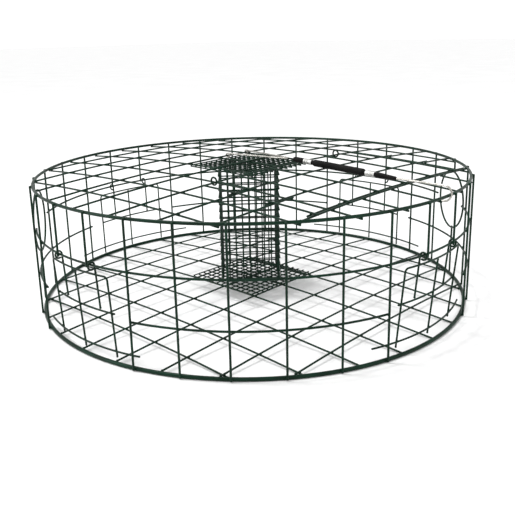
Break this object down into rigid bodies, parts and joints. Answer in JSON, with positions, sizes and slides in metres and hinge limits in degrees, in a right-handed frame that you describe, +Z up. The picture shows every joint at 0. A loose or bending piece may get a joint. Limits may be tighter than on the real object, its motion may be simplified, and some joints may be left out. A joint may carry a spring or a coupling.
{
  "type": "crab trap",
  "caption": "Round welded-wire crab trap with inward swing gates, a hinged lid held by a rubber strap, escape rings and a central bait column.",
  "frame": {"origin": "centre of the round base, on the ground plane", "axes": "+Z up; the lid opens in the half of the top towards -Y; gates face -Y, +X, +Y and -X"},
  "size_m": [0.7771, 0.777, 0.2533],
  "materials": {
    "green_wire": "gloss",
    "fine_green_wire": "satin",
    "bright_steel": "bright drawn",
    "crimp_steel": "dull",
    "black_rubber": "matte"
  },
  "bodies": {
    "cage": {"bait_column_hoops": "fine_green_wire", "bait_column_uprights": "fine_green_wire", "bait_floor_plate": "fine_green_wire", "bait_top_plate": "fine_green_wire", "bottom_rim": "green_wire", "doorway_uprights": "green_wire", "escape_ring_left": "green_wire", "escape_ring_right": "green_wire", "escape_uprights": "green_wire", "floor_cross_wires": "green_wire", "floor_long_wires": "green_wire", "lower_hoops": "green_wire", "middle_hoop": "green_wire", "top_cross_wires": "green_wire", "top_long_wires": "green_wire", "top_rim": "green_wire", "wall_uprights": "green_wire"},
    "front_gate": {"front_gate_bars": "green_wire", "front_gate_centre_tine": "green_wire", "front_gate_frame": "green_wire", "front_gate_hinge_tines": "green_wire"},
    "right_gate": {"right_gate_bars": "green_wire", "right_gate_centre_tine": "green_wire", "right_gate_frame": "green_wire", "right_gate_hinge_tines": "green_wire"},
    "back_gate": {"back_gate_bars": "green_wire", "back_gate_centre_tine": "green_wire", "back_gate_frame": "green_wire", "back_gate_hinge_tines": "green_wire"},
    "left_gate": {"left_gate_bars": "green_wire", "left_gate_centre_tine": "green_wire", "left_gate_frame": "green_wire", "left_gate_hinge_tines": "green_wire"},
    "lid": {"lid_cross_wires": "green_wire", "lid_hinge_arms": "green_wire", "lid_long_wires": "green_wire"},
    "strap": {"rim_hook": "bright_steel", "rubber_strap": "black_rubber", "strap_bail": "bright_steel", "strap_crimps": "crimp_steel"}
  },
  "joints": [
    {"name": "front_gate_hinge", "type": "hinge", "parent": "cage", "child": "front_gate", "pos_m": [0, -0.38159, 0.149], "axis": [1, 0, 0], "range_deg": [-4.8, 105.2]},
    {"name": "right_gate_hinge", "type": "hinge", "parent": "cage", "child": "right_gate", "pos_m": [0.38159, 0, 0.149], "axis": [0, 1, 0], "range_deg": [0, 110]},
    {"name": "back_gate_hinge", "type": "hinge", "parent": "cage", "child": "back_gate", "pos_m": [0, 0.38159, 0.149], "axis": [-1, 0, 0], "range_deg": [0, 110]},
    {"name": "left_gate_hinge", "type": "hinge", "parent": "cage", "child": "left_gate", "pos_m": [-0.38159, 0, 0.149], "axis": [0, -1, 0], "range_deg": [-2.6, 107.4]},
    {"name": "lid_hinge", "type": "hinge", "parent": "cage", "child": "lid", "pos_m": [-0.01025, -0.078, 0.23757], "axis": [-1, 0, -0.0023], "range_deg": [0, 150]},
    {"name": "strap_swing", "type": "hinge", "parent": "cage", "child": "strap", "pos_m": [0.035, 0.072, 0.2403], "axis": [-1, 0, 0.008], "range_deg": [0, 150]}
  ],
  "couplings": [
    {"joint": "strap_swing", "follows": "lid_hinge", "ratio": 1}
  ]
}
